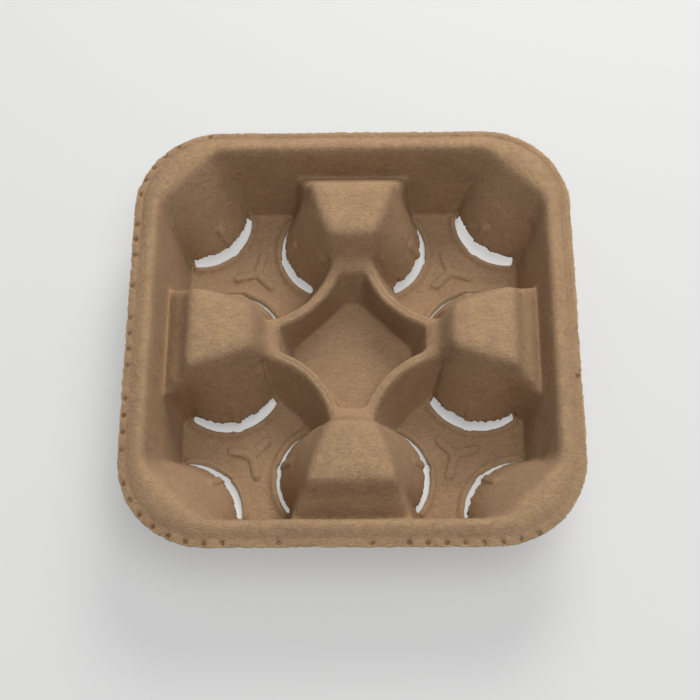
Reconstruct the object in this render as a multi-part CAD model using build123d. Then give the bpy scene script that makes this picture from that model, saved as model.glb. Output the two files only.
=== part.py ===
from build123d import *
import os
from math import atan2, cos, degrees, radians, sin, sqrt, tan

# ---------------------------------------------------------------- driving dimensions (mm)
cup_pitch = 97.0            # between neighbouring cup axes
cell_reach = 34.8           # cup axis out to the foot of the outer wall
wall_run = 12.0             # lean of the outer wall, foot to mouth
rim_width = 12.2            # mouth to the trimmed edge
tray_height = 50.0          # underside of the cell floors to the rim crest
sheet = 1.8                 # thickness of the formed fibre sheet
corner_radius = 43.0        # plan radius of the four outer corners
recess_radius = 8.0         # plan radius where two outer walls meet

lip_width = 5.2             # low outer lip round the rim
crest_run = 3.4             # slope from the lip up to the rim crest
lip_drop = 4.0              # rim crest down to the lip

cup_floor_radius = 29.0     # cup cone at floor level, on the pocket side
cup_rim_radius = 39.5       # the same cone at pocket rim level

flap_in, flap_out = 38.1, 13.3          # axis of a tower flap from the cup axis
flap_radius = 26.7          # tower flap at floor level
flap_from, flap_to = -66.0, 40.0        # degrees, the open part of that arc
plateau_flare = 10.1        # half width gained from the near to the far edge of a tower top
plateau_drop = 1.0          # tower tops below the rim crest
brow_run = 8.0              # lean of a tower's near face, from its top down to the pocket's rim
brow_half = 9.9             # half width of that face at its foot
tower_root = 6.0            # where the towers end inside the rim, from the trimmed edge
saddle_width = 18.3         # far edge of a tower top to the mouth
saddle_drop = 21.2          # rim crest to the saddle between tower and wall
step_run, step_drop = 5.0, 11.8         # foot of the steep part of a tower's outer face
step_width, step_fall = 3.0, 2.0        # ledge below it

corner_flap_axis = 30.8     # cup axis to the corner flap's axis, on both axes
corner_flap_radius = 26.2
corner_flap_half = 52.0     # degrees each side of the diagonal
shelf_reach = 26.6          # corner shelf along each wall, from the corner of the mouth

pocket_drop = 17.2          # rim crest to the pocket's rim
pocket_floor_z = 8.3        # floor of the pocket above the base
pocket_inset = 12.5         # tower's near edge to the blunt tip of the pocket mouth
pocket_ridge = 4.3          # width of the pocket's rim
pocket_tip_lean = 7.0       # lean of the pocket's wall at a tip, and along a side
pocket_side_lean = 1.8

slot_gap = 6.0              # height of the open slot under each flap tip
slot_depth = 9.0            # reach of the slot tool into the flap
bead_radius = 1.6           # rolled bead along the floor side of each slot
mark_length, mark_width, mark_height = 11.9, 3.8, 0.8   # three-armed mark on a cell floor
rib_length, rib_width, rib_height = 12.0, 4.4, 0.7      # rib down the middle of a flap
pip_length, pip_width, pip_height = 8.0, 3.6, 0.9       # rib across the pocket's rim

# ---------------------------------------------------------------- sizes that follow
cup_centre = cup_pitch / 2
floor_inner = cup_centre + cell_reach
rim_inner = floor_inner + wall_run
half = rim_inner + rim_width

tower_arc_x = cup_centre - flap_in
tower_arc_y = cup_centre + flap_out
plateau_inner = cup_centre
plateau_outer = rim_inner - saddle_width
plateau_near = tower_arc_x
plateau_far = plateau_near + plateau_flare
brow_foot = plateau_inner - brow_run
corner_arc = cup_centre + corner_flap_axis
shelf_chord = 2 * rim_inner - shelf_reach

floor_z = sheet
top_z = tray_height
plateau_z = top_z - plateau_drop
saddle_z = top_z - saddle_drop
pocket_rim_z = top_z - pocket_drop
pocket_tip = plateau_inner - pocket_inset
pocket_mouth_r = cup_rim_radius + pocket_ridge
pocket_floor_tip = pocket_tip - pocket_tip_lean
pocket_floor_side = 2 * cup_centre - (pocket_mouth_r + pocket_side_lean) * sqrt(2)

deep = -20.0                # level below everything, where the construction bodies start
ref_z = floor_z             # level at which the lower outlines are drawn


def rounded_square(half_size, radius, z):
    return Pos(0, 0, z) * RectangleRounded(2 * half_size, 2 * half_size, radius)


def outline(points, z, arc=None):
    """Closed outline through the points; arc = (start index, middle point)."""
    edges = []
    n = len(points)
    for i in range(n):
        a, b = points[i], points[(i + 1) % n]
        if arc and i == arc[0]:
            edges.append(ThreePointArc(a, arc[1], b))
        else:
            edges.append(Line(a, b))
    return Pos(0, 0, z) * make_face(edges)


def four(shape):
    return [Rot(0, 0, 90 * k) * shape for k in range(4)]


# ---------------------------------------------------------------- bodies, each shrunk by d
def envelope(d):
    crest = half - lip_width - crest_run
    lip_z = top_z - lip_drop
    lip_half = half if d == 0 else half + 2
    lip_r = corner_radius if d == 0 else corner_radius + 2
    inset = 0.75 * d
    low = rounded_square(lip_half, lip_r, deep)
    body = extrude(low, lip_z - d - deep)
    step = loft([rounded_square(crest + crest_run - inset, corner_radius - lip_width - inset, lip_z - d),
                 rounded_square(crest - inset, corner_radius - lip_width - crest_run - inset, top_z - d)],
                ruled=True)
    return body + step


def recess(d):
    lean = (rim_inner - floor_inner) / (top_z - floor_z)
    side = d * sqrt(1 + lean * lean)
    low = floor_inner - lean * d + side
    high = rim_inner + side + lean * 5
    return loft([rounded_square(low, recess_radius, floor_z - d),
                 rounded_square(high, recess_radius, top_z + 5)],
                ruled=True)


def brow(d):
    """Near face of a tower, leaning out over the pocket's rim."""
    slope = brow_run / (plateau_z - pocket_rim_z)
    side = d * sqrt(1 + slope * slope)
    buried = 4.0

    def level(z, width):
        front = brow_foot + slope * (z - pocket_rim_z) + side
        back = plateau_outer - 2 * side
        return Pos(0, (front + back) / 2, z) * Rectangle(2 * (width - d), back - front)

    return loft([level(pocket_rim_z - buried, brow_half), level(top_z + 0.01, plateau_near)], ruled=True)


def tower(d):
    e = 1.14 * d
    r = flap_radius - e

    def on_arc(angle):
        a = radians(angle)
        return (tower_arc_x + r * cos(a), tower_arc_y + r * sin(a))

    wall = half - tower_root
    front_low = on_arc(flap_from)
    end_low = on_arc(flap_to)
    mid = on_arc((flap_from + flap_to) / 2)
    foot = end_low[0] + 1.2
    low_right = [front_low, end_low, (foot, wall)]
    slope = (plateau_far - plateau_near) / (plateau_outer - plateau_inner)
    top_end = plateau_far + 0.40 * (wall - plateau_outer)
    s = e * sqrt(1 + slope * slope)
    high_right = [(plateau_near - s + slope * e, plateau_inner + e),
                  (plateau_far - s, plateau_outer), (top_end - s, wall)]

    def both(right):
        return right + [(-x, y) for x, y in reversed(right)]

    def face(right, z, arcs):
        pts = both(right)
        edges = []
        for i in range(6):
            a, b = pts[i], pts[(i + 1) % 6]
            if arcs and i == 0:
                edges.append(ThreePointArc(a, mid, b))
            elif arcs and i == 4:
                edges.append(ThreePointArc(a, (-mid[0], mid[1]), b))
            else:
                edges.append(Line(a, b))
        return Pos(0, 0, z) * make_face(edges)

    low = face(low_right, ref_z, True)
    high = face(high_right, top_z + 0.01, False)
    block = loft([low, high], ruled=True) + extrude(low, deep - ref_z) + brow(d)

    lean = (rim_inner - floor_inner) / (top_z - floor_z)
    saddle_y = rim_inner - lean * (top_z - saddle_z)
    dy, dz = -0.65 * d, -d
    profile = [(0, deep), (0, plateau_z), (plateau_outer, plateau_z),
               (plateau_outer + step_run, top_z - step_drop),
               (plateau_outer + step_run + step_width, top_z - step_drop - step_fall),
               (saddle_y, saddle_z), (half + 20, saddle_z), (half + 20, deep)]
    pts = [(y + (dy if y > 0 else 0), z + (dz if z > deep else 0)) for y, z in profile]
    mask_face = Plane.YZ * Polygon(*pts, align=None)
    mask = extrude(mask_face, amount=half, both=True)
    return block & mask


def corner(d):
    e = 1.16 * d
    r = corner_flap_radius - e
    a0 = radians(225 - corner_flap_half)
    a1 = radians(225 + corner_flap_half)
    c = corner_arc
    p1 = (c + r * cos(a1), c + r * sin(a1))
    p2 = (c + r * cos(a0), c + r * sin(a0))
    mid = (c - r * sqrt(0.5), c - r * sqrt(0.5))
    far = half + 8
    low = outline([p1, p2, (p2[0], far), (far, far), (far, p1[1])], ref_z, (0, mid))
    chord = shelf_chord + e * sqrt(2)
    x1 = rim_inner + 2.7
    q1, q2 = (x1, chord - x1), (chord - x1, x1)
    high = outline([q1, q2, (q2[0], far), (far, far), (far, q1[1])], top_z + 0.01)
    return loft([low, high], ruled=True) + extrude(low, deep - ref_z)


def pocket_block(d):
    reach = plateau_inner + 1.5
    block = Pos(0, 0, deep) * Box(2 * reach, 2 * reach, pocket_rim_z - d - deep,
                                  align=(Align.CENTER, Align.CENTER, Align.MIN))
    lean = (cup_rim_radius - cup_floor_radius) / (pocket_rim_z - ref_z)
    e = d * sqrt(1 + lean * lean)
    low_z = ref_z - d
    r_low = cup_floor_radius - lean * d + e
    r_high = cup_rim_radius + lean * 6 + e
    for sx in (-1, 1):
        for sy in (-1, 1):
            cone = Cone(r_low, r_high, pocket_rim_z + 6 - low_z,
                        align=(Align.CENTER, Align.CENTER, Align.MIN))
            block = block - Pos(sx * cup_centre, sy * cup_centre, low_z) * cone
    return block


def pocket_void(d):
    def star(tip, mouth_r, side, z):
        c = cup_centre
        if mouth_r:
            x = c - sqrt(mouth_r ** 2 - (c - tip) ** 2)
            m = c - mouth_r * sqrt(0.5)
        else:
            x = side - tip
            m = side / 2
        edges = []
        for k in range(4):
            turn = Rot(0, 0, -90 * k)
            edges.append(turn * Line((-x, tip), (x, tip)))
            if mouth_r:
                edges.append(turn * ThreePointArc((x, tip), (m, m), (tip, x)))
            else:
                edges.append(turn * Line((x, tip), (tip, x)))
        return Pos(0, 0, z) * make_face(edges)

    up = 6.0
    f = up / (pocket_rim_z - pocket_floor_z)
    lean_tip = (pocket_tip - pocket_floor_tip) * f
    low = star(pocket_floor_tip + 0.8 * d, None, pocket_floor_side + 1.35 * d, pocket_floor_z - d)
    mid = star(pocket_tip + d, pocket_mouth_r - d, None, pocket_rim_z)
    high = star(pocket_tip + lean_tip + d, pocket_mouth_r - d - 0.5, None, pocket_rim_z + up)
    return loft([low, mid], ruled=True) + loft([mid, high], ruled=True)


def mass(d):
    inside = Pos(0, 0, deep) * Box(2 * half + 4, 2 * half + 4, top_z + 10 - deep,
                                   align=(Align.CENTER, Align.CENTER, Align.MIN))
    body = inside - recess(d)
    for t in four(tower(d)):
        body = body + t
    for c in four(corner(d)):
        body = body + c
    body = body + pocket_block(d)
    body = body - pocket_void(d)
    return body & envelope(d)


# ---------------------------------------------------------------- the sheet
upper = mass(0.0)
lower = mass(sheet)
tray = upper - lower


# ---------------------------------------------------------------- beads, marks and ribs
def sector(cx, cy, radius, angle_from, angle_to, z0, z1):
    n = max(2, int((angle_to - angle_from) / 30) + 1)
    rays = [radians(angle_from + (angle_to - angle_from) * i / n) for i in range(n + 1)]
    pts = [(cx, cy)] + [(cx + radius * 1.3 * cos(a), cy + radius * 1.3 * sin(a)) for a in rays]
    return extrude(Pos(0, 0, z0) * Polygon(*pts, align=None), z1 - z0)


def slot_tools(cx, cy, r, angle_from, angle_to):
    ring = Pos(cx, cy, floor_z) * Torus(r + bead_radius - 0.1, bead_radius)
    bead = ring & sector(cx, cy, r, angle_from, angle_to, floor_z - 3, floor_z + 3)
    upright = (Align.CENTER, Align.CENTER, Align.MIN)
    tip = Pos(cx, cy, floor_z - 6) * (Cylinder(r, 6 + slot_gap, align=upright)
                                      - Cylinder(r - slot_depth, 6 + slot_gap, align=upright))
    window = tip & sector(cx, cy, r, angle_from, angle_to, floor_z - 7, floor_z + slot_gap + 1)
    return bead, window


def flap_rib(cx, cy, r, lean, angle):
    z_tip = floor_z + slot_gap
    a = radians(angle)
    run = r - lean * slot_gap
    tilt = degrees(atan2(lean, 1))
    bar = Box(2 * rib_height, rib_width, rib_length, align=(Align.CENTER, Align.CENTER, Align.MIN))
    bar = fillet(bar.edges().filter_by(Axis.Z), 0.5)
    return (Pos(cx + run * cos(a), cy + run * sin(a), z_tip) * Rot(0, 0, angle) * Rot(0, -tilt, 0) * bar)


tower_flap_run = 24.0
tower_lean = tower_flap_run / (top_z - ref_z)
corner_lean = (shelf_chord / sqrt(2) - (corner_arc * sqrt(2) - corner_flap_radius)) / (top_z - ref_z)
slots = []
ribs = []
for side in (1, -1):
    span = (flap_from, flap_to) if side > 0 else (180 - flap_to, 180 - flap_from)
    slots.append((side * tower_arc_x, tower_arc_y, flap_radius, span[0], span[1], tower_lean))
slots.append((corner_arc, corner_arc, corner_flap_radius,
              225 - corner_flap_half + 2, 225 + corner_flap_half - 2, corner_lean))

for cx, cy, r, a0, a1, lean in slots:
    bead, window = slot_tools(cx, cy, r, a0, a1)
    rib = flap_rib(cx, cy, r, lean, (a0 + a1) / 2)
    for k in range(4):
        turn = Rot(0, 0, 90 * k)
        tray = tray + turn * rib
        tray = tray + turn * bead
        tray = tray - turn * window

arm = Pos(0, 0, floor_z - 0.6) * extrude(
    Pos(mark_length / 2 - mark_width / 4, 0) * SlotOverall(mark_length + mark_width / 2, mark_width),
    0.6 + mark_height)
mark = None
for k in range(3):
    a = Rot(0, 0, 225 + 120 * k) * arm
    mark = a if mark is None else mark + a
mark = Pos(cup_centre + 0.8, cup_centre + 0.8, 0) * mark
for m in four(mark):
    tray = tray + m

pip = Pos(0, (pocket_tip + plateau_inner) / 2 - 1.0, pocket_rim_z - 0.8) * extrude(
    SlotOverall(pip_length, pip_width, 90), 0.8 + pip_height)
for p in four(pip):
    tray = tray + p

tray = tray.solids().sort_by(SortBy.VOLUME)[-1]
tray.label = "carrier_tray"

os.makedirs("parts", exist_ok=True)
export_step(tray, "parts/carrier_tray.step")
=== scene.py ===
# %% [markdown]
# # A moulded pulp carrier for four cups
# The real tray is one sheet of wet paper pulp, sucked onto a wire mould, pressed and dried. Nothing
# is glued or folded: four tapered towers, four corner shelves and the pocket in the middle are the
# same sheet. So the model is one main piece, with the fine loose fibres of its skin beside it.
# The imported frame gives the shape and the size, and this lesson turns it into pulp.

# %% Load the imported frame
import math

import bmesh
import bpy
import numpy as np
from mathutils import Matrix, Vector


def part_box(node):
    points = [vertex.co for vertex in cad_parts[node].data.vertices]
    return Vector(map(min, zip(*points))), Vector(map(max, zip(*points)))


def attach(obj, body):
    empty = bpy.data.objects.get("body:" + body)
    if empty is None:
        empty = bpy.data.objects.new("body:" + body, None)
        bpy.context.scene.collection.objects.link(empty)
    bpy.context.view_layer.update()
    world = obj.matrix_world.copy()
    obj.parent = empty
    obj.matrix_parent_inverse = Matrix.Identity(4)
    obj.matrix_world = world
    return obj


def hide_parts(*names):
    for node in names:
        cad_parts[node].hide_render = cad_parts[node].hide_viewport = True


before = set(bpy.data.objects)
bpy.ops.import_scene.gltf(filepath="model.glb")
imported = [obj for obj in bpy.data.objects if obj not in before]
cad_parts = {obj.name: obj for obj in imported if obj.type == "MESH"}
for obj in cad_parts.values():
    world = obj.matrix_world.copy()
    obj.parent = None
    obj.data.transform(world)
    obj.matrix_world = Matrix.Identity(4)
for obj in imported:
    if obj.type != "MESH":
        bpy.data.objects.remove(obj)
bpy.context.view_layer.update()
NODE = "carrier_tray"
low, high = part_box(NODE)
HALF = (high[0] - low[0]) / 2
TOP = high[2]
MM = 0.001
SHEET = 1.8 * MM
print("tray is", round(HALF * 2000, 1), "mm across and", round(TOP * 1000, 1), "mm high")

# %% [markdown]
# ## Camera, floor and light
# The camera looks down into the tray, leaning back from upright and turned a little. Its three
# directions are worked out from those angles and written straight into the object's matrix, which
# is easier to keep exact than a chain of rotations.

# %% Camera
lean, turn, roll = math.radians(24.1), math.radians(2.53), math.radians(-2.66)
back = Vector((math.sin(turn) * math.sin(lean), -math.cos(turn) * math.sin(lean), math.cos(lean)))
right = Vector((math.cos(turn), math.sin(turn), 0))
above = back.cross(right)
side = right * math.cos(roll) + above * math.sin(roll)
upward = above * math.cos(roll) - right * math.sin(roll)
camera_data = bpy.data.cameras.new("camera")
camera_data.lens = 74.94
camera_data.sensor_width = 36
camera_data.shift_x, camera_data.shift_y = -0.0023, -0.0327
camera_data.clip_start, camera_data.clip_end = 0.01, 20
camera = bpy.data.objects.new("camera", camera_data)
axes = Matrix((side, upward, back)).transposed().to_4x4()
camera.matrix_world = Matrix.Translation((0.0124, -0.2816, 0.675)) @ axes
bpy.context.scene.collection.objects.link(camera)
bpy.context.scene.camera = camera
print("camera stands", round(camera.location.length, 3), "m from the tray")

# %% [markdown]
# Pulp is dull, so its shape is read from soft shading alone. One broad lamp hangs behind the tray
# and a little to the right, and an even pale sky fills the rest. The colours are shown without a
# film curve, so that the paper keeps the value that its material gives.

# %% Light
bpy.context.scene.view_settings.view_transform = "Standard"


def soft_lamp(name, place, target, size, watts, tint):
    data = bpy.data.lights.new(name, "AREA")
    data.shape, data.size, data.energy, data.color = "DISK", size, watts, tint
    lamp = bpy.data.objects.new(name, data)
    aim = (Vector(target) - Vector(place)).to_track_quat("-Z", "Y")
    lamp.matrix_world = Matrix.LocRotScale(Vector(place), aim, None)
    bpy.context.scene.collection.objects.link(lamp)
    return lamp


soft_lamp("key_lamp", (0.24, 0.86, 0.80), (0, 0.02, 0.02), 0.65, 11.0, (1.0, 0.985, 0.96))
soft_lamp("front_lamp", (0.30, -0.15, 1.5), (0, 0, 0.02), 0.9, 10.0, (0.985, 0.99, 1.0))
sky = bpy.data.worlds.new("pale_sky")
sky.use_nodes = True
sky.node_tree.nodes["Background"].inputs["Color"].default_value = (0.93, 0.96, 1.0, 1)
sky.node_tree.nodes["Background"].inputs["Strength"].default_value = 0.34
bpy.context.scene.world = sky

# %% [markdown]
# ## Node tools
# Both the shape and the finish come from node trees. A small class stands for one output socket
# and knows the arithmetic signs, so a mask is written as a sum. Every other node is made by one
# method, which sets the node's options before it fills its sockets.

# %% Wires and nodes
class Wire:
    """One output of a node, which can be used in a sum."""

    def __init__(self, tree, socket):
        self.tree, self.socket = tree, socket

    def math(self, operation, *others, clamp=False):
        return node(self.tree, "ShaderNodeMath", {"operation": operation, "use_clamp": clamp},
                    dict(enumerate((self,) + others)))[0]

    def __add__(self, other):
        return self.math("ADD", other)

    def __mul__(self, other):
        return self.math("MULTIPLY", other)

    def __sub__(self, other):
        return self.math("SUBTRACT", other)

    def __rsub__(self, other):
        return (self * -1.0).math("ADD", other)

    def __gt__(self, other):
        return self.math("GREATER_THAN", other)

    def clamp(self):
        return self.math("ADD", 0.0, clamp=True)

    def ramp(self, start, end):
        """0 at start, 1 at end, smooth between them."""
        return node(self.tree, "ShaderNodeMapRange", {"interpolation_type": "SMOOTHSTEP"},
                    {"Value": self, "From Min": start, "From Max": end})[0]


class Made:
    """A new node: its outputs are taken by name or by number."""

    def __init__(self, tree, item):
        self.tree, self.item = tree, item

    def __getitem__(self, key):
        outputs = [s for s in self.item.outputs if s.enabled]
        return Wire(self.tree, outputs[key] if isinstance(key, int) else self.item.outputs[key])


def node(tree, kind, settings=None, sockets=None):
    item = tree.nodes.new(kind)
    for name, value in (settings or {}).items():
        if name == "stops":
            ramp = item.color_ramp
            while len(ramp.elements) < len(value):
                ramp.elements.new(0.5)
            for element, (place, colour) in zip(ramp.elements, value):
                element.position, element.color = place, colour
        else:
            setattr(item, name, value)
    for key, value in (sockets or {}).items():
        usable = [s for s in item.inputs if s.enabled]
        slot = usable[key] if isinstance(key, int) else next(s for s in usable if s.name == key)
        if isinstance(value, Wire):
            tree.links.new(value.socket, slot)
        elif value is not None:
            slot.default_value = value
    return Made(tree, item)


def vector(tree, operation, *parts):
    made = node(tree, "ShaderNodeVectorMath", {"operation": operation}, dict(enumerate(parts)))
    return made[0]


def scaled(tree, a, factor):
    return node(tree, "ShaderNodeVectorMath", {"operation": "SCALE"}, {"Vector": a, "Scale": factor})[0]

# %% [markdown]
# ## The moulded sheet
# Pressed pulp has no sharp folds, because wet fibre rounds every corner of the mould. The packed
# body is exact but crisp, so a copy of it is merged and remeshed in small even faces, and a
# Geometry Nodes tree then does what the press and the dryer do: it rounds the folds, warps the
# sheet a little, raises soft lumps, tears the edges of the flaps and presses the pick-up marks in.

# %% Copy and remesh
FACE = 0.65 * MM


def plain_copy(name, source):
    mesh = source.data.copy()
    shell = bmesh.new()
    shell.from_mesh(mesh)
    bmesh.ops.remove_doubles(shell, verts=shell.verts, dist=0.001 * MM)
    bmesh.ops.recalc_face_normals(shell, faces=shell.faces)
    shell.to_mesh(mesh)
    shell.free()
    mesh.materials.clear()
    piece = bpy.data.objects.new(name, mesh)
    bpy.context.scene.collection.objects.link(piece)
    return piece


def baked(piece, name):
    """The piece with its modifiers turned into plain mesh, and the modifiers gone."""
    graph = bpy.context.evaluated_depsgraph_get()
    mesh = bpy.data.meshes.new_from_object(piece.evaluated_get(graph))
    mesh.name = name
    piece.modifiers.clear()
    piece.data = mesh
    return piece


tray = plain_copy("pulp_tray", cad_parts[NODE])
grid = tray.modifiers.new("even faces", "REMESH")
grid.mode, grid.voxel_size, grid.use_smooth_shade = "VOXEL", FACE, True
baked(tray, "pulp_tray")
print("sheet has", len(tray.data.vertices), "points")

# %% [markdown]
# The flap tips were torn open by the trimming punch. Each flap is part of a cone, so its tip lies
# on a known arc. A small loop marks the points near each tip and which way the sheet runs there,
# and the tree pushes them along that way by noise. The beads round the slots, the raised marks and
# the trimmed rim keep their edges, so the rounding is held back there; the shoulders of the towers
# and the mouth of the wall are rounded the most, as the press leaves them.

# %% Where the sheet is torn, crisp or soft
FLAP_Z = 7.8 * MM       # height of the torn tips
MARK = 49.3 * MM        # place of each raised mark, from the middle both ways
ARM = 11.0 * MM         # length of its three arms
PIP = 39.0 * MM         # place of the pip on each of the pocket's ridges
CUP = 48.5 * MM         # axis of each cup, from the middle both ways
HAIR_ARC = 41.4 * MM    # radius of the hair line about that axis
RIM_RADIUS = 43.0 * MM  # corner radius of the rim
GROOVE = 102.9 * MM     # reach of the die's groove
# each flap's cone: its axis, its radius on the floor and how far it leans in for each unit of height
tower_tips = [(side * 10.4 * MM, 61.8 * MM, 26.7 * MM, 0.50) for side in (1, -1)]
corner_tips = [(79.3 * MM, 79.3 * MM, 26.2 * MM, 0.62)]
# how far each flap hangs below the trimmed line: right tower tip, left tower tip, corner, in mm
hang = [(0.2, 0.9, 0.0), (0.6, 0.2, 0.3), (1.6, 0.2, 0.2), (0.2, 1.2, 1.7)]


def tray_points(piece):
    places = np.empty(len(piece.data.vertices) * 3)
    piece.data.vertices.foreach_get("co", places)
    return places.reshape(-1, 3)


def fade(values, start, end):
    t = np.clip((values - start) / (end - start), 0, 1)
    return t * t * (3 - 2 * t)


def turned(px, py, quarter):
    c, s = round(math.cos(quarter * math.pi / 2)), round(math.sin(quarter * math.pi / 2))
    return px * c - py * s, px * s + py * c


def to_segment(px, py, ax, ay, bx, by):
    """Distance from points to the straight line between a and b."""
    dx, dy = bx - ax, by - ay
    t = np.clip(((px - ax) * dx + (py - ay) * dy) / (dx * dx + dy * dy), 0, 1)
    return np.hypot(px - ax - t * dx, py - ay - t * dy)


points = tray_points(tray)
x, y, z = points.T
ups = np.array([0.0, 0.0, 1.0])
tear = np.zeros((len(points), 3))
crisp = np.zeros(len(points))
relief = np.zeros((len(points), 3))
near_floor = (z < 5 * MM) * (z > 1.2 * MM)
for quarter in range(4):
    for (px, py, radius, slope), drop in zip(tower_tips + corner_tips, hang[quarter]):
        cx, cy = turned(px, py, quarter)
        away = np.column_stack([x - cx, y - cy])
        reach = np.hypot(away[:, 0], away[:, 1])
        outward = np.column_stack([away / np.maximum(reach, 1e-6)[:, None], np.zeros(len(points))])
        cone = radius - slope * (z - SHEET)
        on_flap = (np.abs(reach - cone + 1.2 * MM) < 3 * MM) & (z > FLAP_Z - 1.5 * MM)
        weight = np.clip((FLAP_Z + 6 * MM - z) / (6 * MM), 0, 1) * on_flap
        down = outward * slope - ups
        tear += down * weight[:, None]
        relief += down * weight[:, None] * drop * MM
        bead = (1 - fade(np.abs(reach - radius - 1.5 * MM), 1.5 * MM, 3.0 * MM)) * near_floor
        on_cone = (1 - fade(np.abs(reach - cone), 1.5 * MM, 3.0 * MM)) * (1 - fade(z, 20 * MM, 26 * MM))
        crisp = np.maximum(crisp, np.maximum(bead, on_cone * 0.8))
        relief += ups * (bead * 0.35 * MM)[:, None]
        middle = math.radians(225 if px > 60 * MM else (-13 if px > 0 else 193))
        turn_by = middle + quarter * math.pi / 2
        along = away @ np.array([math.cos(turn_by), math.sin(turn_by)])
        across = np.abs(away @ np.array([-math.sin(turn_by), math.cos(turn_by)]))
        rib = (1 - fade(across, 1.6 * MM, 2.3 * MM)) * (along > 0) * (np.abs(reach - cone) < 2.2 * MM)
        rib *= (1 - fade(z, 18.5 * MM, 19.5 * MM))
        relief += outward * (rib * 0.55 * MM)[:, None]
    cx, cy = turned(MARK, MARK, quarter)
    mark = (1 - fade(np.hypot(x - cx, y - cy), 14 * MM, 17 * MM)) * (1 - fade(z, 3.2 * MM, 5 * MM))
    nearest = np.full(len(points), 1.0)
    for arm in range(3):
        way = math.radians(225 + 120 * arm + 90 * quarter)
        end = (cx + ARM * math.cos(way), cy + ARM * math.sin(way))
        nearest = np.minimum(nearest, to_segment(x, y, cx, cy, *end))
    arms = (1 - fade(nearest, 1.7 * MM, 2.2 * MM)) * near_floor
    relief += ups * (arms * 0.55 * MM)[:, None]
    cx, cy = turned(0.0, PIP, quarter)
    pip = 1 - fade(np.hypot(x - cx, y - cy), 4 * MM, 7 * MM)
    crisp = np.maximum(crisp, np.maximum(mark, pip * 0.9 * (z > 28 * MM)))
corner_start = HALF - RIM_RADIUS


def outward_reach(px, py):
    """How far out a point lies, in rounded squares like the rim."""
    past = np.hypot(np.maximum(np.abs(px) - corner_start, 0), np.maximum(np.abs(py) - corner_start, 0))
    return np.maximum(np.maximum(np.abs(px), np.abs(py)), corner_start + past)


outer = outward_reach(x, y)
crisp = np.maximum(crisp, fade(outer, 105.4 * MM, 106.6 * MM))
past = np.column_stack([np.sign(x) * np.maximum(np.abs(x) - corner_start, 0),
                        np.sign(y) * np.maximum(np.abs(y) - corner_start, 0), np.zeros(len(points))])
inward = -past / np.maximum(np.linalg.norm(past, axis=1), 1e-6)[:, None]
rim_end = fade(outer, 104.6 * MM, 107.3 * MM)
relief += inward * (rim_end * 0.55 * MM)[:, None]
tear += inward * (rim_end * 0.36)[:, None]
# the trimming die leaves a groove in the lip, deepest along the back and round the right
groove_side = 0.25 + 0.75 * fade(y + 0.35 * x, -10 * MM, 60 * MM)
groove = (1 - fade(np.abs(outer - GROOVE), 0.3 * MM, 1.3 * MM)) * (z > 40 * MM) * groove_side
relief -= ups * (groove * 0.8 * MM)[:, None]
# a hair line runs along the top of the pocket's four ridges
to_cup = np.hypot(np.abs(x) - CUP, np.abs(y) - CUP)
hair_line = (1 - fade(np.abs(to_cup - HAIR_ARC), 0.2 * MM, 0.8 * MM)) * (z > 30 * MM)
hair_line *= (np.abs(x) < 36 * MM) * (np.abs(y) < 36 * MM)
relief -= ups * (hair_line * 0.5 * MM)[:, None]
crisp = np.maximum(crisp, hair_line * 0.6)
soft = fade(z, 29 * MM, 38 * MM) * (1 - fade(outer, 104.6 * MM, 106.2 * MM))
layers = (("tear", "FLOAT_VECTOR", tear), ("relief", "FLOAT_VECTOR", relief),
          ("crisp", "FLOAT", crisp), ("soft", "FLOAT", soft))
for name, kind, values in layers:
    layer = tray.data.attributes.new(name, kind, "POINT")
    layer.data.foreach_set("vector" if kind == "FLOAT_VECTOR" else "value", values.ravel())
print("torn points:", int((np.abs(tear).sum(1) > 0).sum()), "crisp:", round(float(crisp.sum())),
      "soft:", round(float(soft.sum())))

# %% [markdown]
# The tree has a named input for each size. Blurring the position attribute rounds the folds, noise
# moves both faces of the sheet together, and a row of points along a rounded square gives the
# pick-up marks: the nearer a point of the sheet is to one of them, the deeper it sinks.

# %% Geometry Nodes: press and dry
def add_inputs(tree, sizes):
    tree.interface.new_socket(name="Geometry", in_out="INPUT", socket_type="NodeSocketGeometry")
    for name, (kind, value) in sizes.items():
        item = tree.interface.new_socket(name=name, in_out="INPUT", socket_type=kind)
        if value is not None:
            item.default_value = value
    tree.interface.new_socket(name="Geometry", in_out="OUTPUT", socket_type="NodeSocketGeometry")


def run_tree(piece, tree, values):
    modifier = piece.modifiers.new(tree.name, "NODES")
    modifier.node_group = tree
    for item in tree.interface.items_tree:
        if item.in_out == "INPUT" and item.name in values:
            modifier[item.identifier] = values[item.name]
    return modifier


def rounded_path(tree, half_side, radius, spacing):
    square = node(tree, "GeometryNodeCurvePrimitiveQuadrilateral", None,
                  {"Width": half_side * 2.0, "Height": half_side * 2.0})[0]
    arc = node(tree, "GeometryNodeFilletCurve", {"mode": "POLY"},
               {"Curve": square, "Radius": radius, "Count": 16})
    steps = node(tree, "GeometryNodeResampleCurve", {"mode": "LENGTH"},
                 {"Curve": arc[0], "Length": spacing})
    return steps[0]


def stored(tree, name, kind="FLOAT"):
    """A layer that was written on the mesh."""
    return node(tree, "GeometryNodeInputNamedAttribute", {"data_type": kind}, {"Name": name})[0]


def kept_in_box(tree, shape, half):
    """The shape with every point inside the tray's box."""
    place = node(tree, "GeometryNodeInputPosition")[0]
    most = node(tree, "ShaderNodeCombineXYZ", None, {0: half, 1: half, 2: TOP})[0]
    least = node(tree, "ShaderNodeCombineXYZ", None, {0: half * -1.0, 1: half * -1.0})[0]
    inside = vector(tree, "MINIMUM", vector(tree, "MAXIMUM", place, least), most)
    return node(tree, "GeometryNodeSetPosition", None, {"Geometry": shape, "Position": inside})[0]


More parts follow.
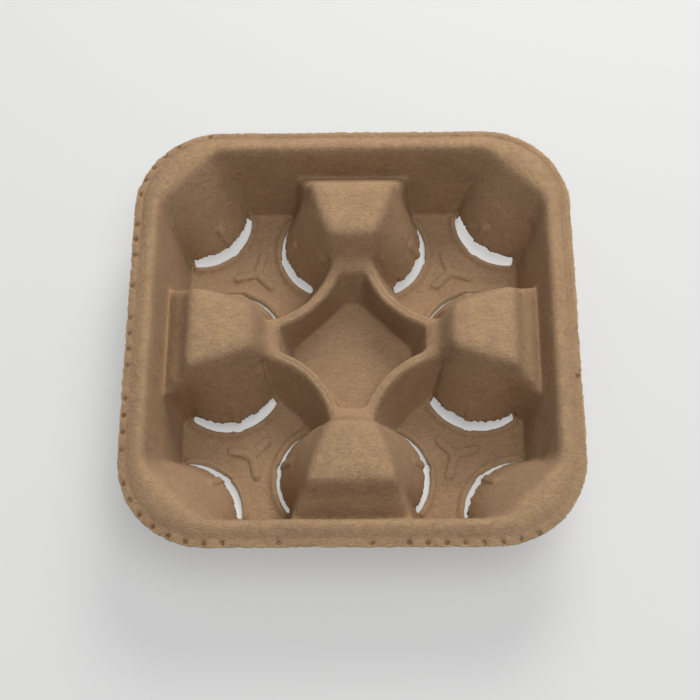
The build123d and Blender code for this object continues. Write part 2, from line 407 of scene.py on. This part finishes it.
def press_tree():
    tree = bpy.data.node_groups.new("press_and_dry", "GeometryNodeTree")
    add_inputs(tree, {"Rounding": ("NodeSocketInt", 8), "Shoulders": ("NodeSocketInt", 30),
                      "Warp": ("NodeSocketFloat", 0.0), "Lumps": ("NodeSocketFloat", 0.0),
                      "Tear": ("NodeSocketFloat", 0.0),
                      "Mark Path": ("NodeSocketFloat", 0.1), "Mark Depth": ("NodeSocketFloat", 0.0),
                      "Half": ("NodeSocketFloat", 0.1), "Seed": ("NodeSocketFloat", 1.0)})
    enter = node(tree, "NodeGroupInput")
    place = node(tree, "GeometryNodeInputPosition")[0]
    normal = node(tree, "GeometryNodeInputNormal")[0]
    shift = node(tree, "ShaderNodeCombineXYZ", None, {0: enter["Seed"] * 7.3, 1: enter["Seed"] * 3.1})[0]

    def cloud(scale, detail, output="Color"):
        spot = vector(tree, "ADD", place, scaled(tree, shift, 0.01))
        return node(tree, "ShaderNodeTexNoise", {"noise_dimensions": "3D"},
                    {"Vector": spot, "Scale": scale, "Detail": detail, "Roughness": 0.55})[output]

    def centred(colour):
        return vector(tree, "SUBTRACT", colour, (0.5, 0.5, 0.5))

    def rounded(shape, passes, weight):
        blur = node(tree, "GeometryNodeBlurAttribute", {"data_type": "FLOAT_VECTOR"},
                    {"Value": place, "Iterations": passes, "Weight": weight})[0]
        return node(tree, "GeometryNodeSetPosition", None, {"Geometry": shape, "Position": blur})[0]

    shoulders = rounded(enter["Geometry"], enter["Shoulders"], stored(tree, "soft"))
    round_folds = rounded(shoulders, enter["Rounding"], 1.0 - stored(tree, "crisp"))
    raised = node(tree, "GeometryNodeSetPosition", None,
                  {"Geometry": round_folds, "Offset": stored(tree, "relief", "FLOAT_VECTOR")})[0]
    torn = cloud(230.0, 3.0, "Fac") * 3.0 + cloud(1000.0, 2.0, "Fac") * 1.3 - 2.25
    torn_by = scaled(tree, stored(tree, "tear", "FLOAT_VECTOR"), torn * enter["Tear"])
    tear_tips = node(tree, "GeometryNodeSetPosition", None, {"Geometry": raised, "Offset": torn_by})[0]
    warp_by = scaled(tree, centred(cloud(22.0, 2.0)), enter["Warp"])
    lump_by = scaled(tree, normal, (cloud(330.0, 2.0, "Fac") - 0.5) * enter["Lumps"])
    settle = node(tree, "GeometryNodeSetPosition", None,
                  {"Geometry": tear_tips, "Offset": vector(tree, "ADD", warp_by, lump_by)})[0]
    row = rounded_path(tree, enter["Mark Path"], 0.040, 0.0084)
    row_points = node(tree, "GeometryNodeCurveToPoints", {"mode": "EVALUATED"}, {"Curve": row})[0]
    chance = node(tree, "FunctionNodeRandomValue", {"data_type": "FLOAT"},
                  {"Min": 0.0, "Max": 1.0, "Seed": 5})[0]
    spot = node(tree, "ShaderNodeSeparateXYZ", None, {0: place})
    worn_side = (spot[0] * -1.0).ramp(0.05, 0.10) * 0.75 + (spot[1] * -1.0).ramp(0.08, 0.105) * 0.45
    row_points = node(tree, "GeometryNodeDeleteGeometry", {"domain": "POINT"},
                      {"Geometry": row_points, "Selection": chance > worn_side + 0.06})[0]
    lift = node(tree, "ShaderNodeCombineXYZ", None, {2: 0.0455})[0]
    row_points = node(tree, "GeometryNodeSetPosition", None, {"Geometry": row_points, "Offset": lift})[0]
    gap = node(tree, "GeometryNodeProximity", {"target_element": "POINTS"}, {0: row_points})["Distance"]
    mark = 1.0 - gap.ramp(0.0004, 0.0022)
    sink = node(tree, "ShaderNodeCombineXYZ", None, {2: mark * enter["Mark Depth"] * -1.0})[0]
    press_marks = node(tree, "GeometryNodeSetPosition", None, {"Geometry": settle, "Offset": sink})[0]
    # the pit mask is kept on the sheet, and the finish paints shade into the pits with it
    with_pit_shade_mask = node(tree, "GeometryNodeStoreNamedAttribute", {"data_type": "FLOAT", "domain": "POINT"},
                   {"Geometry": press_marks, "Name": "pit", "Value": mark})[0]
    trimmed = kept_in_box(tree, with_pit_shade_mask, enter["Half"])
    smooth = node(tree, "GeometryNodeSetShadeSmooth", None, {"Geometry": trimmed})[0]
    whole = node(tree, "GeometryNodeRealizeInstances", None, {"Geometry": smooth})[0]
    finish = node(tree, "GeometryNodeSetMaterial", None, {"Geometry": whole, "Material": pulp})[0]
    node(tree, "NodeGroupOutput", None, {"Geometry": finish})
    return tree


# %% [markdown]
# ## The pulp
# Grey and brown waste paper is beaten with water, so the sheet is a mix of fibres: mottled at the
# size of a thumbnail, speckled at the size of a pinhead and hairy up close. The colour is built
# from noise at those sizes, with stretched noise for the fibres. Height for the bump comes from
# the same masks, so that a pale fibre also stands up.

# %% Material: moulded pulp
def mixed(tree, factor, a, b, blend="MIX"):
    return node(tree, "ShaderNodeMix", {"data_type": "RGBA", "blend_type": blend},
                {"Factor": factor, "A": a, "B": b})[0]


def pulp_material():
    material = bpy.data.materials.new("moulded_pulp")
    material.use_nodes = True
    tree = material.node_tree
    tree.nodes.clear()
    place = node(tree, "ShaderNodeTexCoord")["Object"]
    mm = scaled(tree, place, 1000.0)

    def cloud(scale, detail, spot=mm, rough=0.55, twist=0.0):
        return node(tree, "ShaderNodeTexNoise", {"noise_dimensions": "3D"},
                    {"Vector": spot, "Scale": scale, "Detail": detail, "Roughness": rough,
                     "Distortion": twist})["Fac"]

    def fibres(angles, width):
        spot = node(tree, "ShaderNodeMapping", {"vector_type": "POINT"},
                    {"Vector": mm, "Rotation": angles, "Scale": (0.16, 1.5, 1.5)})[0]
        line = (cloud(1.0, 1.0, spot, 0.4, 0.6) - 0.5).math("ABSOLUTE")
        return 1.0 - line.ramp(0.0, width)

    patches = cloud(0.055, 4.0)
    mottle = cloud(0.42, 5.0)
    grain = cloud(1.9, 4.0, rough=0.65)
    pale_fibres = (fibres((0.3, 0.2, 0.5), 0.03) + fibres((1.2, -0.6, 2.1), 0.03)).clamp()
    dark_fibres = fibres((-0.7, 0.9, 1.2), 0.02) * cloud(0.2, 1.0).ramp(0.48, 0.62)
    cells = node(tree, "ShaderNodeTexVoronoi", {"feature": "F1"},
                 {"Vector": mm, "Scale": 0.30, "Randomness": 1.0})
    chosen = node(tree, "ShaderNodeSeparateColor", None, {"Color": cells["Color"]})
    fleck = (1.0 - cells["Distance"].ramp(0.05, 0.17)) * (chosen[0] > 0.86)
    height = node(tree, "ShaderNodeSeparateXYZ", None, {0: mm})
    colour = mixed(tree, patches.ramp(0.25, 0.75), (0.325, 0.200, 0.112, 1), (0.392, 0.248, 0.141, 1))
    colour = mixed(tree, mottle.ramp(0.3, 0.72) * 0.55, colour, (0.425, 0.276, 0.160, 1))
    colour = mixed(tree, (1.0 - grain.ramp(0.34, 0.56)) * 0.5, colour, (0.215, 0.126, 0.068, 1))
    colour = mixed(tree, pale_fibres * 0.22, colour, (0.52, 0.365, 0.225, 1))
    colour = mixed(tree, dark_fibres * 0.35, colour, (0.16, 0.092, 0.052, 1))
    colour = mixed(tree, fleck * 0.55, colour, (0.13, 0.07, 0.04, 1))
    frayed = node(tree, "ShaderNodeAttribute", {"attribute_name": "frayed"})["Fac"]
    pit = node(tree, "ShaderNodeAttribute", {"attribute_name": "pit"})["Fac"]
    # painted highlight: the faces near the top of the tray, above 46.8 mm, are made paler and yellower in
    # patches
    top_highlight = height[2].ramp(46.8, 49.4) * cloud(0.19, 4.0, rough=0.7, twist=0.8).ramp(0.47, 0.60)
    colour = mixed(tree, top_highlight * 0.40, colour, (0.47, 0.318, 0.148, 1))
    colour = mixed(tree, frayed.ramp(0.15, 0.9) * 0.7, colour, (0.53, 0.375, 0.190, 1))
    # painted shade: the pressed pick-up pits are darkened in patches
    pit_shade = pit.ramp(0.2, 0.8) * cloud(0.5, 2.0).ramp(0.3, 0.5) * 0.85
    colour = mixed(tree, pit_shade, colour, (0.20, 0.10, 0.045, 1))
    coarse = cloud(0.9, 3.0)
    bumps = grain * 0.8 + coarse * 1.1 + mottle * 0.7
    bumps = bumps + pale_fibres * 0.25 - dark_fibres * 0.15 - fleck * 0.2
    bump = node(tree, "ShaderNodeBump", None,
                {"Height": bumps, "Strength": 0.8, "Distance": 0.45 * MM})["Normal"]
    rough = grain * 0.10 + 0.84
    skin = node(tree, "ShaderNodeBsdfPrincipled", None,
                {"Base Color": colour, "Roughness": rough, "Normal": bump, "Specular IOR Level": 0.18})
    node(tree, "ShaderNodeOutputMaterial", None, {"Surface": skin["BSDF"]})
    return material


pulp = pulp_material()
press = press_tree()
FOLD_SOFT, SHOULDER_SOFT = 1.0 * MM, 3.6 * MM


def passes(spread):
    """Blur passes that spread a point over this distance on the even faces."""
    return int((spread / (0.6 * FACE)) ** 2)


def clipped(piece):
    """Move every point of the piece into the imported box."""
    piece.data.vertices.foreach_set("co", np.clip(tray_points(piece), low, high).ravel())
    piece.data.update()


run_tree(tray, press, {"Rounding": passes(FOLD_SOFT), "Shoulders": passes(SHOULDER_SOFT),
                       "Warp": 1.1 * MM, "Lumps": 0.5 * MM, "Tear": 1.7 * MM,
                       "Mark Path": 105.3 * MM, "Mark Depth": 1.1 * MM, "Half": HALF, "Seed": 3.0})
MOST_TRIANGLES = 190000
thin = tray.modifiers.new("fewer faces", "DECIMATE")
thin.ratio = min(1.0, MOST_TRIANGLES / (2 * len(tray.data.polygons)))
baked(tray, "pulp_tray")
clipped(tray)
print("tray has", sum(len(p.vertices) - 2 for p in tray.data.polygons), "triangles")

# %% [markdown]
# Where the sheet was cut or torn its core shows, paler and yellower than the skin. The torn layer
# is measured again on the finished mesh, as one number for each point, and both the finish and the
# loose fibres read it.

# %% Frayed edges
points = tray_points(tray)
x, y, z = points.T
frayed = fade(outward_reach(x, y), 105.9 * MM, 106.9 * MM) * 0.9
for quarter in range(4):
    for px, py, radius, slope in tower_tips + corner_tips:
        cx, cy = turned(px, py, quarter)
        reach = np.hypot(x - cx, y - cy)
        on_flap = np.abs(reach - radius + slope * (z - SHEET) + 1.2 * MM) < 3 * MM
        frayed = np.maximum(frayed, (1 - fade(z, 6.5 * MM, 9.6 * MM)) * (z > 4.4 * MM) * on_flap)
        slot_edge = (1 - fade(np.abs(reach - radius), 0.3 * MM, 1.2 * MM)) * (z < 4 * MM) * 0.6
        frayed = np.maximum(frayed, slot_edge)
layer = tray.data.attributes.new("frayed", "FLOAT", "POINT")
layer.data.foreach_set("value", frayed)
print("frayed points:", int((frayed > 0.3).sum()), "of", len(frayed))

# %% [markdown]
# ## Loose fibres
# Single fibres stand out of the skin everywhere and hang from every torn edge. One bent strand
# with three sides is made once, and a tree scatters it over the tray: thinly on the skin, thickly
# where the frayed layer is high.

# %% Geometry Nodes: scattered fibres
def fibre_tree():
    tree = bpy.data.node_groups.new("loose_fibres", "GeometryNodeTree")
    add_inputs(tree, {"On Skin": ("NodeSocketFloat", 0.0), "On Edges": ("NodeSocketFloat", 0.0),
                      "Longest": ("NodeSocketFloat", 0.0), "Thickness": ("NodeSocketFloat", 0.0),
                      "Half": ("NodeSocketFloat", 0.1), "Seed": ("NodeSocketInt", 0)})
    enter = node(tree, "NodeGroupInput")
    density = enter["On Skin"] + enter["On Edges"] * stored(tree, "frayed")
    scatter = node(tree, "GeometryNodeDistributePointsOnFaces", {"distribute_method": "RANDOM"},
                   {"Mesh": enter["Geometry"], "Density": density, "Seed": enter["Seed"]})
    strand = node(tree, "GeometryNodeCurvePrimitiveBezierSegment", None,
                  {"Resolution": 4, "Start": (-0.5, 0, -0.02), "Start Handle": (-0.15, 0.30, 0.06),
                   "End Handle": (0.15, -0.26, 0.05), "End": (0.5, 0.05, 0.04)})[0]
    ring = node(tree, "GeometryNodeCurvePrimitiveCircle", None, {"Resolution": 3, "Radius": 1.0})[0]
    hair = node(tree, "GeometryNodeCurveToMesh", None,
                {"Curve": strand, "Profile Curve": ring, "Scale": enter["Thickness"], "Fill Caps": True})[0]

    def drawn(least, most, seed):
        return node(tree, "FunctionNodeRandomValue", {"data_type": "FLOAT"},
                    {"Min": least, "Max": most, "Seed": seed})[0]

    spin = node(tree, "ShaderNodeCombineXYZ", None, {0: drawn(-0.25, 0.25, 1), 1: drawn(-0.35, 0.2, 2),
                                                     2: drawn(0.0, 6.283, 3)})[0]
    spin = node(tree, "FunctionNodeEulerToRotation", None, {0: spin})[0]
    facing = node(tree, "FunctionNodeRotateRotation", {"rotation_space": "LOCAL"},
                  {"Rotation": scatter["Rotation"], "Rotate By": spin})[0]
    length = enter["Longest"] * drawn(0.35, 1.0, 4)
    hairs = node(tree, "GeometryNodeInstanceOnPoints", None,
                 {"Points": scatter["Points"], "Instance": hair, "Rotation": facing, "Scale": length})[0]
    whole = node(tree, "GeometryNodeRealizeInstances", None, {"Geometry": hairs})[0]
    trimmed = kept_in_box(tree, whole, enter["Half"])
    finish = node(tree, "GeometryNodeSetMaterial", None, {"Geometry": trimmed, "Material": fibre})[0]
    node(tree, "NodeGroupOutput", None, {"Geometry": finish})
    return tree


# %% [markdown]
# A single fibre is paler than the sheet, because the sheet's shade comes from the gaps between
# fibres. It varies from straw to brown along the tray.

# %% Material: loose fibre
def fibre_material():
    material = bpy.data.materials.new("loose_fibre")
    material.use_nodes = True
    tree = material.node_tree
    tree.nodes.clear()
    place = node(tree, "ShaderNodeTexCoord")["Object"]
    spread = node(tree, "ShaderNodeTexNoise", {"noise_dimensions": "3D"},
                  {"Vector": place, "Scale": 260.0, "Detail": 2.0})["Fac"]
    colour = mixed(tree, spread.ramp(0.35, 0.65), (0.30, 0.180, 0.095, 1), (0.50, 0.350, 0.190, 1))
    strand = node(tree, "ShaderNodeBsdfPrincipled", None,
                  {"Base Color": colour, "Roughness": spread * 0.2 + 0.7, "Specular IOR Level": 0.2})
    node(tree, "ShaderNodeOutputMaterial", None, {"Surface": strand["BSDF"]})
    return material


fibre = fibre_material()
fibres_piece = bpy.data.objects.new("loose_fibres", tray.data.copy())
bpy.context.scene.collection.objects.link(fibres_piece)
run_tree(fibres_piece, fibre_tree(), {"On Skin": 5200.0, "On Edges": 210000.0, "Longest": 2.6 * MM,
                                      "Thickness": 0.026, "Half": HALF, "Seed": 11})
baked(fibres_piece, "loose_fibres")
clipped(fibres_piece)
print("fibres have", sum(len(p.vertices) - 2 for p in fibres_piece.data.polygons), "triangles")

# %% [markdown]
# ## Floor
# The floor is a plain pale sheet, lit from within a little as a light table is, so that the open
# slots of the tray read pale.

# %% Floor
def floor_material():
    material = bpy.data.materials.new("pale_floor")
    material.use_nodes = True
    tree = material.node_tree
    tree.nodes.clear()
    place = node(tree, "ShaderNodeTexCoord")["Object"]
    tone = node(tree, "ShaderNodeTexNoise", {"noise_dimensions": "3D"},
                {"Vector": place, "Scale": 0.8})["Fac"]
    colour = mixed(tree, tone, (0.36, 0.36, 0.352, 1), (0.38, 0.38, 0.372, 1))
    paper = node(tree, "ShaderNodeBsdfPrincipled", None,
                 {"Base Color": colour, "Roughness": 0.85, "Emission Color": (0.93, 0.935, 0.93, 1),
                  "Emission Strength": 0.36, "Specular IOR Level": 0.1})
    node(tree, "ShaderNodeOutputMaterial", None, {"Surface": paper["BSDF"]})
    return material


floor_mesh = bpy.data.meshes.new("floor")
EDGE = 6.0
corners = [(-EDGE, -EDGE, 0), (EDGE, -EDGE, 0), (EDGE, EDGE, 0), (-EDGE, EDGE, 0)]
floor_mesh.from_pydata(corners, [], [(0, 1, 2, 3)])
floor_piece = bpy.data.objects.new("floor", floor_mesh)
floor_mesh.materials.append(floor_material())
bpy.context.scene.collection.objects.link(floor_piece)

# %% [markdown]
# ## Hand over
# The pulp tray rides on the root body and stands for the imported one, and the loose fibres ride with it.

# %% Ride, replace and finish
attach(tray, "root")
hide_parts(NODE)
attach(fibres_piece, "root")
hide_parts(NODE)
